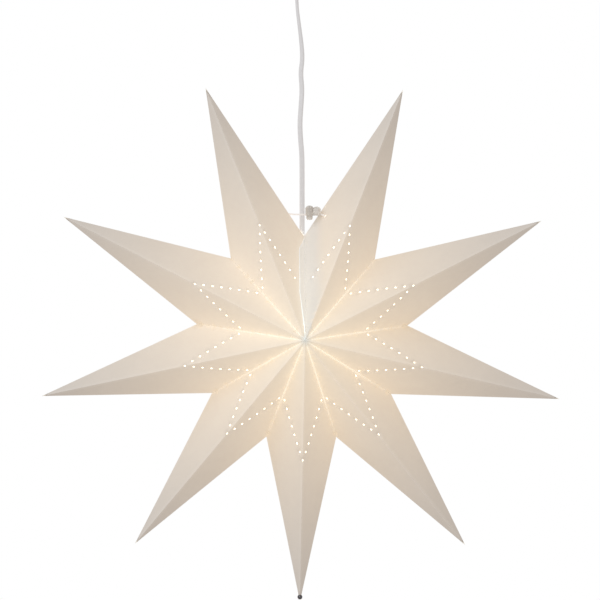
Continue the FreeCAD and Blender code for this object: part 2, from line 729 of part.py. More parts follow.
def thread_profile(radius):
    """Rounded thread, one ring a pitch, as (radius, height) corners from the top down."""
    corners = []
    for turn in range(THREAD_TURNS):
        top = THREAD_TOP - turn * THREAD_PITCH
        corners += [(radius - THREAD_DEPTH, top - 0.1 * THREAD_PITCH), (radius, top - 0.4 * THREAD_PITCH),
                    (radius, top - 0.6 * THREAD_PITCH), (radius - THREAD_DEPTH, top - 0.9 * THREAD_PITCH)]
    return corners


def contact_sleeve():
    """Threaded brass sleeve that takes the bulb."""
    inner = thread_profile(THREAD_RADIUS + THREAD_FIT)
    outer = THREAD_RADIUS + THREAD_FIT + SLEEVE_WALL
    return clean(turned(inner + [
        (inner[-1][0], THREAD_BOTTOM), (outer + 0.6, THREAD_BOTTOM),
        (outer, THREAD_BOTTOM + 1), (outer, SKIRT_TOP),
        (inner[0][0], SKIRT_TOP),
    ]))


def centre_contact():
    """Sprung strip that meets the bulb's tip."""
    gap = 0.1
    strip = turned([(0, SKIRT_TOP), (2.6, SKIRT_TOP), (2.6, SKIRT_TOP - 0.5), (1.2, THREAD_TOP + 1.9 + gap),
                    (0, THREAD_TOP + 1.9 + gap)])
    return clean(strip)


def bulb_cap():
    r = THREAD_RADIUS
    return clean(turned([(0, THREAD_TOP), (r - THREAD_DEPTH, THREAD_TOP)] + thread_profile(r)
                        + [(r - THREAD_DEPTH, THREAD_BOTTOM), (r - THREAD_DEPTH, THREAD_BOTTOM - 2.4),
                           (0, THREAD_BOTTOM - 2.4)]))


def bulb_contact():
    """Insulating glass bead with the solder tip."""
    return clean(turned([(0, THREAD_TOP), (4.6, THREAD_TOP), (3.4, THREAD_TOP + 0.9), (2.0, THREAD_TOP + 1.1),
                         (1.4, THREAD_TOP + 1.8), (0, THREAD_TOP + 1.9)]))


COLLAR_BASE = THREAD_BOTTOM - 2.4
GLOBE_CENTRE = COLLAR_BASE - COLLAR_LENGTH + 2.0 - math.sqrt(GLOBE_RADIUS ** 2 - COLLAR_RADIUS ** 2)


def bulb_collar():
    """Moulded heat sink between the cap and the globe."""
    base, end = COLLAR_BASE, COLLAR_BASE - COLLAR_LENGTH
    return clean(turned([
        (0, base), (7.6, base), (8.4, base - 1.0), (9.6, base - 6.0), (COLLAR_RADIUS - 0.6, end + 3.0),
        (COLLAR_RADIUS, end + 2.0), (COLLAR_RADIUS - GLOBE_WALL, end + 2.0),
        (COLLAR_RADIUS - GLOBE_WALL, end),
        (0, end),
    ]))


def bulb_globe():
    middle = V(0, 0, holder_level(GLOBE_CENTRE))
    shell = ball(GLOBE_RADIUS, middle).cut(ball(GLOBE_RADIUS - GLOBE_WALL, middle))
    cut_at = COLLAR_BASE - COLLAR_LENGTH + 2.0
    neck = Z * holder_level(cut_at)
    above = rod(2 * GLOBE_RADIUS, neck, neck + Z * GLOBE_RADIUS)
    plug = rod(COLLAR_RADIUS - GLOBE_WALL, neck - Z * 2.0, neck)
    return clean(shell.cut([above, plug]))


def led_board():
    top = COLLAR_BASE - COLLAR_LENGTH
    return clean(turned([(0, top), (BOARD_RADIUS, top), (BOARD_RADIUS, top - 1.2), (0, top - 1.2)]))


# ================================================================ tie and lock
def tie_line():
    """The tie from its knot in the last point, round the front of the cord, to the first point."""
    left, left_normal = left_tie_hole()
    right, right_normal = right_tie_hole()
    lock = lock_centre()
    return [
        left - left_normal * KNOT, left + left_normal * TIE_TURN,
        lock - X * (LOCK_LENGTH / 2 + LOCK_SLIDE + 6.5), lock + X * (LOCK_LENGTH / 2 + 1.0),
        right + right_normal * TIE_TURN, right - right_normal * KNOT,
    ]


def lock_centre():
    """Middle of the lock on the tie, just to the right of the hanging cord."""
    x = CORD / 2 + LOCK_CORD_GAP + LOCK_LENGTH / 2
    return V(x, -(CORD / 2 + TIE / 2 + LOCK_AHEAD), CENTRE.z + SEAM_NOTCH_RADIUS + TIE_ABOVE_NOTCH)


def button_axis_x():
    return lock_centre().x - LOCK_LENGTH / 2 + BUTTON / 2 + 1.0


def closing_tie():
    points = tie_line()
    knots = [ball(KNOT / 2, points[0]), ball(KNOT / 2, points[-1])]
    return clean(tube(points, TIE, "tie").fuse(knots))


def bullet(radius, base, height):
    """Upright barrel with a domed top."""
    crown = radius * 0.6
    bow = (radius ** 2 + crown ** 2) / (2 * crown)
    half = math.asin(radius / bow) / 2
    edge, top = base + V(radius, 0, height - crown), base + Z * height
    middle = base + V(bow * math.sin(half), 0, height - bow + bow * math.cos(half))
    edges = [
        Part.LineSegment(top, base).toShape(),
        Part.LineSegment(base, base + X * radius).toShape(),
        Part.LineSegment(base + X * radius, edge).toShape(),
        Part.Arc(edge, middle, top).toShape(),
    ]
    return Part.Face(Part.Wire(edges)).revolve(base, Z, 360)


def lock_body():
    """Clear two-lobed housing: a barrel for the button, and a rounded lobe beside it."""
    middle = lock_centre()
    base = middle.z - LOCK_BASE_DROP
    left = V(button_axis_x(), middle.y, base)
    barrel_radius = BUTTON / 2 + 1.0
    lobe_radius = (LOCK_LENGTH - 2 * barrel_radius) / 2 + 0.6
    right = V(middle.x + LOCK_LENGTH / 2 - lobe_radius, middle.y, base)
    shape = bullet(barrel_radius, left, LOCK_HEIGHT).fuse(bullet(lobe_radius, right, LOCK_HEIGHT - 1.2))
    bore = rod(BUTTON / 2 + BUTTON_FIT, left - Z, left + Z * (LOCK_HEIGHT - LOCK_ROOF))
    way = rod(TIE / 2 + BUTTON_FIT, middle - X * LOCK_LENGTH, middle + X * LOCK_LENGTH)
    return clean(shape.cut([bore, way]))


def button_top():
    return lock_centre().z - LOCK_BASE_DROP - BUTTON_OUT + BUTTON_LENGTH


def lock_button():
    """Press button with a slot that grips the tie."""
    middle = lock_centre()
    low = V(button_axis_x(), middle.y, button_top() - BUTTON_LENGTH)
    body = rod(BUTTON / 2, low, low + Z * BUTTON_LENGTH)
    rim = [e for e in body.Edges if e.BoundBox.ZLength < 1e-6 and e.CenterOfMass.z < low.z + 1]
    body = body.makeFillet(1.8, rim)
    top = TIE / 2 + BUTTON_FIT
    slot = rod(top, middle - X * LOCK_LENGTH, middle + X * LOCK_LENGTH).fuse([
        rod(top, middle - X * LOCK_LENGTH - Z * BUTTON_TRAVEL,
            middle + X * LOCK_LENGTH - Z * BUTTON_TRAVEL),
        block((2 * LOCK_LENGTH, 2 * top, BUTTON_TRAVEL), middle - Z * BUTTON_TRAVEL / 2)])
    return clean(body.cut(slot))


def biarc(start, start_way, end, end_way):
    """Two arcs that join on one tangent, from start to end, leaving and arriving along the given ways."""
    chord, both = end - start, start_way + end_way
    a, b, c = both.dot(both) - 4, -2 * chord.dot(both), chord.dot(chord)
    reach = (-b - math.sqrt(b * b - 4 * a * c)) / (2 * a)
    first, second = start + start_way * reach, end - end_way * reach
    joint = (first + second) / 2
    arcs = []
    for left, corner, right in ((start, first, joint), (joint, second, end)):
        half = (right - corner).getAngle(left - corner) / 2
        to_middle = reach / math.cos(half) - reach * math.tan(half)
        middle = corner + unit(unit(left - corner) + unit(right - corner)) * to_middle
        arcs.append(Part.Arc(left, middle, right).toShape())
    return arcs


def lock_spring():
    """Small coil between the button and the housing's roof."""
    radius = BUTTON / 2 - SPRING_WIRE
    middle = V(button_axis_x(), lock_centre().y, button_top() + SPRING_WIRE / 2)
    rise = LOCK_HEIGHT - LOCK_ROOF - LOCK_BASE_DROP + lock_centre().z - SPRING_WIRE / 2 - middle.z
    quarters = 4 * SPRING_TURNS
    climb = rise / quarters
    places, ways = [], []
    for k in range(quarters + 1):
        a = math.radians(90 * k)
        places.append(middle + V(radius * math.cos(a), radius * math.sin(a), climb * k))
        ways.append(unit(V(-math.sin(a), math.cos(a), climb / (radius * math.pi / 2))))
    edges = []
    for k in range(quarters):
        edges += biarc(places[k], ways[k], places[k + 1], ways[k + 1])
    path = Part.Wire(edges)
    ring = Part.Wire(Part.makeCircle(SPRING_WIRE / 2, places[0], ways[0]))
    shape = path.makePipeShell([ring], True, False)
    expected = math.pi * SPRING_WIRE ** 2 / 4 * path.Length
    print("spring volume over section times length", round(shape.Volume / expected, 4))
    print("spring gap between turns", round(rise / SPRING_TURNS - SPRING_WIRE, 2))
    return clean(shape)


# ================================================================ build
def build():
    nodes = {f"point_{i}": star_point(i) for i in range(1, POINTS + 1)}
    makers = [
        tip_bead, closing_tie, lock_body, lock_button, lock_spring,
        hanging_cord, cord_neck, cord_stub, cord_cores,
        ceiling_bridge, ceiling_cup, cup_screws, gland, gland_nut, gland_screw,
        terminal_block, block_screws,
        cord_grip, grip_screw, holder_cap, holder_skirt, terminal_insert, terminal_screws,
        contact_sleeve, centre_contact,
        bulb_cap, bulb_contact, bulb_collar, bulb_globe, led_board,
    ]
    for make in makers:
        nodes[make.__name__] = make()
    return nodes


def main():
    os.makedirs("parts", exist_ok=True)
    for name, shape in build().items():
        solids = shape.Solids
        if not shape.isValid() or any(s.Volume <= 0 for s in solids):
            print("CHECK", name, shape.isValid(), [round(s.Volume, 2) for s in solids])
        shape.exportStep(f"parts/{name}.step")
        print(f"{name}: {len(solids)} solid(s), {round(shape.Volume)} mm3")


main()
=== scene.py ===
"""Looks of a lit folded paper star lamp on a thin flat cord.

Metres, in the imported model's frame: X to the viewer's right, Y away from the viewer, Z up, with the
origin on the ceiling. Sizes written in millimetres are turned into metres where they are used.
"""

import math

import bmesh
import bpy
from mathutils import Matrix, Vector
from mathutils.geometry import delaunay_2d_cdt


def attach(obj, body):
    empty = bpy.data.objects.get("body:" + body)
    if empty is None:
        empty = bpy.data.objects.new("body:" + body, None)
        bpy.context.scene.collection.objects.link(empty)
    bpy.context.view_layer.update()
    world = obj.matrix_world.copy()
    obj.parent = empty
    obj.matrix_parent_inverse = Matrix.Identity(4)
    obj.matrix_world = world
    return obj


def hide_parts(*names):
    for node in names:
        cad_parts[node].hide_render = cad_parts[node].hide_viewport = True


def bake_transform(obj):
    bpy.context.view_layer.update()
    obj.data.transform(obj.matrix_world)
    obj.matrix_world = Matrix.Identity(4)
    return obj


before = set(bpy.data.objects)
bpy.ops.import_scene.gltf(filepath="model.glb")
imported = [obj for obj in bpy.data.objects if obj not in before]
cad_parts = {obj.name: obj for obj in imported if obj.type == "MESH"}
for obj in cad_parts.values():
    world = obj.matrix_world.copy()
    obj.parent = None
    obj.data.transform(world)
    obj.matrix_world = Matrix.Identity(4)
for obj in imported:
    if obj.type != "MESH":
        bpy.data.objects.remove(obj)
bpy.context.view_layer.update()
MM = 0.001

# ---------------------------------------------------------------- the folded shade, millimetres
POINTS = 9
TIP_RADIUS = 277.5
NOTCH_RADIUS = 110.5
SEAM_NOTCH_RADIUS = 104.5
SEAM_TURN = 1.0
HALF_DEPTH = 74.0
FAN_SPREAD = 2.4
SEAM_SPREAD = 1.0
FAN_TURN = 0.5
SEAM_LAP = 7.2                # the first point's edge laps this far over the last one at the seam
SEAM_LAP_REACH = (8.0, 46.0, 90.0, 101.0)  # it starts, is full from and to, and ends, from the middle
SEAM_FLAP_WIDTH = 18.0        # loose flap behind the first point, which dims the light there
PAPER = 0.4
LAP_AIR = 0.1
CENTRE_HOLE = 0.8
DOT = 2.4
DOT_PITCH = 9.3
DOTS_PER_ROW = 7
DOT_RIDGE = 130.0
DOT_VALLEY = 75.0
SEAM_DOT_VALLEY = 72.5
SEAM_DOT_SIDES = (11.5, 16.0)  # beside the seam, in the first and in the last point
TIE_ABOVE_NOTCH = 23.0
TIE_FALL = 2.0
TIE_EDGES = (10.5, 7.0)       # tie holes to the paper's edge, in the first and in the last point
TIE_HOLE = 2.6
BEAD_INSET = 5.0              # the lowest point is trimmed this far inside its tip, at the bead
SHADE_Z = -464.0
SHADE_SET_FORWARD = 3.4
CENTRE = Vector((0.0, -SHADE_SET_FORWARD, SHADE_Z))
FRONT, BACK = -1, 1
CORD_WAY = 3.0                # radius of the gap for the cord in the back panels
BOW = 1.1                     # how far a facet's middle bulges out of its plane
CREASE = 0.22                 # how far a crease's rounded edge lies inside the sharp one
GRID = 8.0                    # spacing of a facet's own points
RING = 14                     # corners round a punched dot
EDGE_ROWS = (0.5, 1.6)        # rows of points close beside a ridge and a valley
DOT_MARGIN = 1.0              # card round a dot that has no inner points
LAP_ROWS = 28                 # steps along the lap over the seam
WELD = 0.00004                # corners closer than this are joined, metres
SHARP_FOLD = 28.0             # folds over this angle stay sharp, degrees

# ---------------------------------------------------------------- light through the card
GLOW = 0.345                  # next to the bulb
GLOW_REACH = 210.0            # it fades over this distance, millimetres
HUB_RADIUS = 9.0              # the very middle of the star is darker, out to here
NEAR_GLOW = 0.025             # whiter light close to the bulb
NEAR_REACH = 60.0
SEAM_LEAK = 3.0               # light along the lap's edge, against 1 along a glued valley
SEAM_PAINTED_GLOW = 0.075           # painted light: a whiter glow on the double card beside the seam
THROUGH = (1.0, 0.76, 0.46)   # colour of light that has come through the card
NEAR = (0.7, 1.0, 0.7)        # what is added close to the bulb, where less of its colour is lost
LEAK = (0.6, 1.0, 1.25)       # light along the glued valleys
SEAM_PAINTED_GLOW_COLOUR = (0.16, 0.62, 1.0)      # colour of the painted whiter glow beside the seam

# ---------------------------------------------------------------- the hanging cord, millimetres
CORD_WIDTH = 5.2
CORD_THICK = 3.2
CORD_ROUTE = [
    (0.0, 0.0, 420.0),
    (0.0, 0.0, 396.0),
    (-1.2, 0.3, 383.0),
    (-5.2, 0.9, 366.0),
    (-5.6, 0.7, 346.0),
    (-3.2, 0.3, 326.0),
    (-0.7, -0.4, 306.0),
    (0.5, -0.3, 289.0),
    (-1.6, 0.4, 274.0),
    (0.1, 0.2, 258.0),
    (-1.0, -0.5, 241.0),
    (-2.4, -0.2, 222.0),
    (-1.6, 0.4, 206.0),
    (-0.2, 0.3, 190.0),
    (0.0, 0.0, 176.0),
    (0.0, 0.0, 148.0),
    (0.0, 0.0, 79.0),
]
PRESS_HEIGHT = 93.0           # under this height the grip presses the cord narrower
PRESS_LENGTH = 3.0
PRESS = 0.2
TURN_FROM = 180.0             # the flat cord turns about itself from this height
TURN_LENGTH = 170.0
CORD_CORNERS = 28             # round its outline

# ---------------------------------------------------------------- the photograph
PIXEL = 1.042                 # millimetres of the star's middle plane in a pixel
PHOTO = 600                   # pixels across and down
STAR_PIXEL = (302.2, 336.9)   # where the star's middle is seen
CAMERA_FROM_LEFT = 2.35       # degrees
CAMERA_FROM_ABOVE = 2.85
CAMERA_DISTANCE = 3.2


# ================================================================ node materials
def material(name):
    mat = bpy.data.materials.new(name)
    mat.use_nodes = True
    return mat, mat.node_tree.nodes, mat.node_tree.links, mat.node_tree.nodes["Principled BSDF"]


def noise(nodes, links, scale, detail=4.0, roughness=0.55, stretch=(1, 1, 1)):
    """Noise that rides with its piece. Returns the socket with its value."""
    where = nodes.new("ShaderNodeTexCoord")
    place = nodes.new("ShaderNodeMapping")
    place.inputs["Scale"].default_value = stretch
    tex = nodes.new("ShaderNodeTexNoise")
    tex.inputs["Scale"].default_value = scale
    tex.inputs["Detail"].default_value = detail
    tex.inputs["Roughness"].default_value = roughness
    links.new(where.outputs["Object"], place.inputs["Vector"])
    links.new(place.outputs["Vector"], tex.inputs["Vector"])
    return tex.outputs["Fac"]


def ramp(nodes, links, value, stops):
    """Colour ramp over a value. stops are (position, colour or grey level)."""
    node = nodes.new("ShaderNodeValToRGB")
    while len(node.color_ramp.elements) < len(stops):
        node.color_ramp.elements.new(0.5)
    for element, (position, colour) in zip(node.color_ramp.elements, stops):
        element.position = position
        element.color = (*colour, 1.0) if isinstance(colour, tuple) else (colour, colour, colour, 1.0)
    links.new(value, node.inputs["Fac"])
    return node.outputs["Color"]


def calc(nodes, links, operation, a, b, clamp=False):
    node = nodes.new("ShaderNodeMath")
    node.operation = operation
    node.use_clamp = clamp
    for socket, value in zip(node.inputs, (a, b)):
        if isinstance(value, (int, float)):
            socket.default_value = value
        else:
            links.new(value, socket)
    return node.outputs["Value"]


def bump(nodes, links, shader, height, strength, distance):
    node = nodes.new("ShaderNodeBump")
    node.inputs["Strength"].default_value = strength
    node.inputs["Distance"].default_value = distance
    links.new(height, node.inputs["Height"])
    links.new(node.outputs["Normal"], shader.inputs["Normal"])


def moulded(name, colour, rough, grain=900.0, depth=0.00003, metal=0.0, contrast=0.05, **more):
    """Plain finish with a fine grain: colour and roughness drift a little, and the surface is not flat."""
    mat, nodes, links, shader = material(name)
    fine = noise(nodes, links, grain, 6.0)
    broad = noise(nodes, links, grain / 14, 3.0)
    dark = tuple(c * (1 - contrast) for c in colour)
    light = tuple(min(1.0, c * (1 + contrast * 0.6)) for c in colour)
    links.new(ramp(nodes, links, broad, [(0.3, dark), (0.7, light)]), shader.inputs["Base Color"])
    level = ramp(nodes, links, fine, [(0.3, max(0.02, rough - 0.06)), (0.7, min(1.0, rough + 0.08))])
    links.new(level, shader.inputs["Roughness"])
    shader.inputs["Metallic"].default_value = metal
    for key, value in more.items():
        shader.inputs[key.replace("_", " ")].default_value = value
    bump(nodes, links, shader, fine, 0.35, depth)
    return mat


def brushed(name, colour, rough, stretch=(1, 1, 40)):
    """Metal with drawn or turned lines."""
    mat, nodes, links, shader = material(name)
    lines = noise(nodes, links, 700.0, 5.0, 0.7, stretch)
    stains = noise(nodes, links, 60.0, 4.0)
    dark = tuple(c * 0.72 for c in colour)
    links.new(ramp(nodes, links, stains, [(0.25, dark), (0.65, colour)]), shader.inputs["Base Color"])
    level = ramp(nodes, links, lines, [(0.2, rough * 0.7), (0.8, min(1.0, rough * 1.5))])
    links.new(level, shader.inputs["Roughness"])
    shader.inputs["Metallic"].default_value = 1.0
    bump(nodes, links, shader, lines, 0.25, 0.00002)
    return mat


def attribute(nodes, name):
    node = nodes.new("ShaderNodeAttribute")
    node.attribute_name = name
    return node.outputs["Fac"]


def tinted(nodes, links, value, colour):
    node = nodes.new("ShaderNodeVectorMath")
    node.operation = "SCALE"
    node.inputs[0].default_value = colour
    links.new(value, node.inputs["Scale"])
    return node.outputs["Vector"]


def added(nodes, links, a, b):
    node = nodes.new("ShaderNodeVectorMath")
    node.operation = "ADD"
    links.new(a, node.inputs[0])
    links.new(b, node.inputs[1])
    return node.outputs["Vector"]


def leak_line(nodes, links):
    """Thin bright line along a valley, softer towards the notch."""
    beside = calc(nodes, links, "DIVIDE", attribute(nodes, "valley"), 0.012)
    line = ramp(nodes, links, beside, [(0.0, 0.10), (0.07, 0.08), (0.12, 0.014), (0.5, 0.0), (1.0, 0.0)])
    fade = ramp(nodes, links, attribute(nodes, "reach"), [(0.0, 1.0), (0.55, 0.9), (0.8, 0.55), (1.0, 0.3)])
    faded = calc(nodes, links, "MULTIPLY", line, fade)
    return calc(nodes, links, "MULTIPLY", faded, attribute(nodes, "leak"))


def paper_outside():
    """Uncoated card with the lamp's light coming through it: strong near the middle, faint at the tips,
    brighter along the glued valleys, with a painted whiter glow on the double card beside the seam and a
    light line on each crease that is partly the fold's wear and partly a painted highlight of its rounded
    edge."""
    mat, nodes, links, shader = material("paper_outside")
    fibre = noise(nodes, links, 420.0, 8.0, 0.65)
    cloud = noise(nodes, links, 26.0, 5.0, 0.6)
    base = ramp(nodes, links, cloud, [(0.3, (0.80, 0.765, 0.735)), (0.7, (0.83, 0.795, 0.765))])
    # light line on each crease: partly wear of the fold, partly a painted highlight of its rounded edge
    crease_wear_and_highlight = ramp(nodes, links, attribute(nodes, "ridge"), [(0.0, 0.4), (0.0008, 0.15), (0.0016, 0.0)])
    mix = nodes.new("ShaderNodeMix")
    mix.data_type = "RGBA"
    links.new(crease_wear_and_highlight, mix.inputs["Factor"])
    links.new(base, mix.inputs["A"])
    mix.inputs["B"].default_value = (0.90, 0.88, 0.86, 1.0)
    links.new(mix.outputs["Result"], shader.inputs["Base Color"])
    shader.inputs["Roughness"].default_value = 0.82
    shader.inputs["Specular IOR Level"].default_value = 0.25
    bump(nodes, links, shader, fibre, 0.25, 0.00008)

    mottle = ramp(nodes, links, noise(nodes, links, 130.0, 6.0, 0.6), [(0.3, 0.94), (0.7, 1.06)])
    glow = calc(nodes, links, "MULTIPLY", attribute(nodes, "glow"), mottle)
    light = added(nodes, links, tinted(nodes, links, glow, THROUGH),
                  tinted(nodes, links, attribute(nodes, "near"), NEAR))
    light = added(nodes, links, light, tinted(nodes, links, leak_line(nodes, links), LEAK))
    # painted light: a whiter glow on the double card beside the seam
    light = added(nodes, links, light, tinted(nodes, links, attribute(nodes, "painted_seam_glow"), SEAM_PAINTED_GLOW_COLOUR))
    links.new(light, shader.inputs["Emission Color"])
    shader.inputs["Emission Strength"].default_value = 1.0
    return mat


def paper_inside():
    """The same card lit straight by the bulb."""
    mat, nodes, links, shader = material("paper_inside")
    fibre = noise(nodes, links, 420.0, 8.0, 0.65)
    base = ramp(nodes, links, fibre, [(0.3, (0.84, 0.81, 0.76)), (0.7, (0.88, 0.85, 0.80))])
    links.new(base, shader.inputs["Base Color"])
    shader.inputs["Roughness"].default_value = 0.85
    level = calc(nodes, links, "ADD", calc(nodes, links, "MULTIPLY", attribute(nodes, "glow"), 1.3), 0.38)
    links.new(tinted(nodes, links, level, (1.0, 0.93, 0.79)), shader.inputs["Emission Color"])
    shader.inputs["Emission Strength"].default_value = 1.0
    return mat


def clear_plastic():
    """Milky clear plastic, faintly warm where it picks up the lamp's light, with flow lines."""
    mat, nodes, links, shader = material("clear_plastic")
    flow = noise(nodes, links, 260.0, 4.0, 0.6, (1, 1, 4))
    tone = ramp(nodes, links, flow, [(0.3, (0.84, 0.80, 0.76)), (0.7, (0.93, 0.90, 0.86))])
    links.new(tone, shader.inputs["Base Color"])
    links.new(ramp(nodes, links, flow, [(0.2, 0.10), (0.8, 0.25)]), shader.inputs["Roughness"])
    shader.inputs["Emission Color"].default_value = (1.0, 0.93, 0.86, 1.0)
    shader.inputs["Emission Strength"].default_value = 0.03
    shader.inputs["IOR"].default_value = 1.49
    shader.inputs["Transmission Weight"].default_value = 0.40
    bump(nodes, links, shader, flow, 0.4, 0.0001)
    return mat


def lit_globe():
    """Opal globe, brightest in the middle of its face."""
    mat, nodes, links, shader = material("lit_globe")
    frost = noise(nodes, links, 90.0, 3.0)
    tone = ramp(nodes, links, frost, [(0.3, (0.95, 0.90, 0.80)), (0.7, (1.0, 0.96, 0.88))])
    links.new(tone, shader.inputs["Base Color"])
    lit = ramp(nodes, links, frost, [(0.3, (1.0, 0.80, 0.52)), (0.7, (1.0, 0.86, 0.62))])
    links.new(lit, shader.inputs["Emission Color"])
    shader.inputs["Emission Strength"].default_value = 3.0
    shader.inputs["Roughness"].default_value = 0.45
    return mat


def cord_insulation():
    """Soft white insulation with the faint ripple of the cores under it, a few dull marks and a faint
    painted glow.
    """
    mat, nodes, links, shader = material("cord_insulation")
    marks = noise(nodes, links, 300.0, 5.0)
    ripple = noise(nodes, links, 120.0, 2.0, 0.4, (1, 1, 3))
    tone = ramp(nodes, links, marks, [(0.3, (0.84, 0.84, 0.86)), (0.7, (0.89, 0.89, 0.91))])
    links.new(tone, shader.inputs["Base Color"])
    links.new(ramp(nodes, links, marks, [(0.3, 0.36), (0.7, 0.5)]), shader.inputs["Roughness"])
    # painted light: a faint bluish white glow that brightens the cord
    shader.inputs["Emission Color"].default_value = (0.95, 0.95, 1.0, 1.0)
    shader.inputs["Emission Strength"].default_value = 0.10
    bump(nodes, links, shader, ripple, 0.1, 0.00004)
    return mat


# ================================================================ mesh tools
def solid_object(name, mesh, *materials):
    piece = bpy.data.objects.new(name, mesh)
    bpy.context.scene.collection.objects.link(piece)
    for mat in materials:
        mesh.materials.append(mat)
    return piece


def apply_modifiers(piece):
    """Puts the result of a piece's modifiers in its mesh."""
    graph = bpy.context.evaluated_depsgraph_get()
    mesh = bpy.data.meshes.new_from_object(piece.evaluated_get(graph), preserve_all_data_layers=True,
                                           depsgraph=graph)
    piece.modifiers.clear()
    piece.data = mesh


# ================================================================ the folded shade
def step(i):
    around = math.radians(i * 360.0 / POINTS)
    return 360.0 / POINTS + FAN_SPREAD * math.cos(around) + SEAM_SPREAD * math.cos(2 * around)


def tip_angle(i):
    return FAN_TURN + step(0) / 2 + sum(step(m) for m in range(1, i))


def outward(angle):
    return Vector((math.sin(math.radians(angle)), 0.0, math.cos(math.radians(angle))))


def tip(i):
    return CENTRE + outward(tip_angle(i)) * TIP_RADIUS


def notch(i):
    if i % POINTS == 0:
        return CENTRE + outward(SEAM_TURN) * SEAM_NOTCH_RADIUS
    return CENTRE + outward(tip_angle(i) + step(i) / 2) * NOTCH_RADIUS


def apex(side):
    return CENTRE + Vector((0.0, side * HALF_DEPTH, 0.0))


class Facet:
    """One flat panel of a point: from the middle along the ridge to the tip, and back by the notch.

    u runs along the ridge from the middle, v square to it towards the notch."""

    def __init__(self, side, i, n):
        self.side, self.point, self.n = side, i, n
        self.origin = apex(side)
        ridge = tip(i) - self.origin
        self.length = ridge.length
        self.along = ridge.normalized()
        to_notch = notch(n) - self.origin
        self.across = (to_notch - self.along * to_notch.dot(self.along)).normalized()
        self.normal = self.along.cross(self.across)
        if self.normal.y * side < 0:
            self.normal = -self.normal
        self.tip = Vector((self.length, 0.0))
        self.notch = Vector((to_notch.dot(self.along), to_notch.dot(self.across)))
        self.valley = self.notch.normalized()

    def place(self, p):
        return self.origin + self.along * p.x + self.across * p.y

    def valley_distance(self, p):
        return abs(p.x * self.valley.y - p.y * self.valley.x)

    def edge_distance(self, p):
        edge = (self.notch - self.tip).normalized()
        rel = p - self.tip
        return abs(rel.x * edge.y - rel.y * edge.x)

    def inside(self, p):
        crossing = p.x * self.valley.y - p.y * self.valley.x
        edge = (self.notch - self.tip).normalized()
        rel = p - self.tip
        return p.y > 0 and crossing > 0 and rel.x * edge.y - rel.y * edge.x < 0

    def bulge(self, p):
        """Rise of the facet out of its plane, nothing at its three sides."""
        area = self.tip.x * self.notch.y
        b_notch = p.y / self.notch.y
        b_tip = (p.x * self.notch.y - p.y * self.notch.x) / area
        return max(0.0, 27.0 * b_notch * b_tip * (1.0 - b_notch - b_tip))

    def from_valley(self, reach, side):
        """Place at a reach along the valley and a distance beside it."""
        return self.valley * reach + Vector((self.valley.y, -self.valley.x)) * side

    def dots(self):
        """Centres of the punched dots: the half dot on the ridge first, then the row."""
        first = Vector((DOT_RIDGE, 0.0))
        aim = self.valley * DOT_VALLEY
        if self.n % POINTS == 0:
            aim = self.from_valley(SEAM_DOT_VALLEY, SEAM_DOT_SIDES[0 if self.point == 1 else 1])
        row = (aim - first).normalized()
        return [first] + [first + row * (k * DOT_PITCH) for k in range(1, DOTS_PER_ROW + 1)]

    def tie_hole(self):
        """Middle of the tie's hole, for the two panels that have one."""
        if (self.side, self.point, self.n) == (FRONT, 1, 0):
            inset, fall = TIE_EDGES[0], TIE_FALL
        elif (self.side, self.point, self.n) == (BACK, POINTS, POINTS):
            inset, fall = TIE_EDGES[1], 0.0
        else:
            return None
        edge = (self.tip - self.notch).normalized()
        inwards = Vector((edge.y, -edge.x))
        if inwards.dot(-self.notch) < 0:
            inwards = -inwards
        start = self.notch + inwards * inset
        rise = self.place(start + edge).z - self.place(start).z
        level = CENTRE.z + SEAM_NOTCH_RADIUS + TIE_ABOVE_NOTCH - fall
        return start + edge * ((level - self.place(start).z) / rise)

    def in_cord_way(self, p):
        place = self.place(p)
        return self.side == BACK and self.n % POINTS == 0 and math.hypot(place.x, place.y) < CORD_WAY


def spread(start, end, spacing):
    """Evenly spaced points from start up to, but without, end."""
    count = max(1, round((end - start).length / spacing))
    return [start.lerp(end, k / count) for k in range(count)]


def facet_outline(facet):
    """Corners round the facet: along the ridge past its half dot, round the tip, and back by the valley."""
    start_ridge = Vector((CENTRE_HOLE / 2 / abs(facet.along.dot(outward(tip_angle(facet.point)))), 0.0))
    start_valley = facet.valley * start_ridge.x
    r = DOT / 2
    before, after = Vector((DOT_RIDGE - r, 0.0)), Vector((DOT_RIDGE + r, 0.0))
    outline = spread(start_ridge, before, GRID)
    half = RING // 2
    outline += [Vector((DOT_RIDGE - r * math.cos(math.pi * k / half), r * math.sin(math.pi * k / half)))
                for k in range(half)]
    if facet.point == (POINTS + 1) // 2:
        keep = 1 - BEAD_INSET / TIP_RADIUS
        inner = NOTCH_RADIUS * math.cos(math.radians(tip_angle(facet.point) - tip_angle(facet.n)
                                                     - step(facet.n) / 2))
        end = facet.tip.lerp(facet.notch, BEAD_INSET / (TIP_RADIUS - inner))
        outline += spread(after, facet.tip * keep, GRID)
        outline += spread(facet.tip * keep, end, GRID)
        outline += spread(end, facet.notch, GRID)
    else:
        outline += spread(after, facet.tip, GRID)
        outline += spread(facet.tip, facet.notch, GRID)
    outline += spread(facet.notch, start_valley, GRID)
    outline.append(start_valley)
    return outline


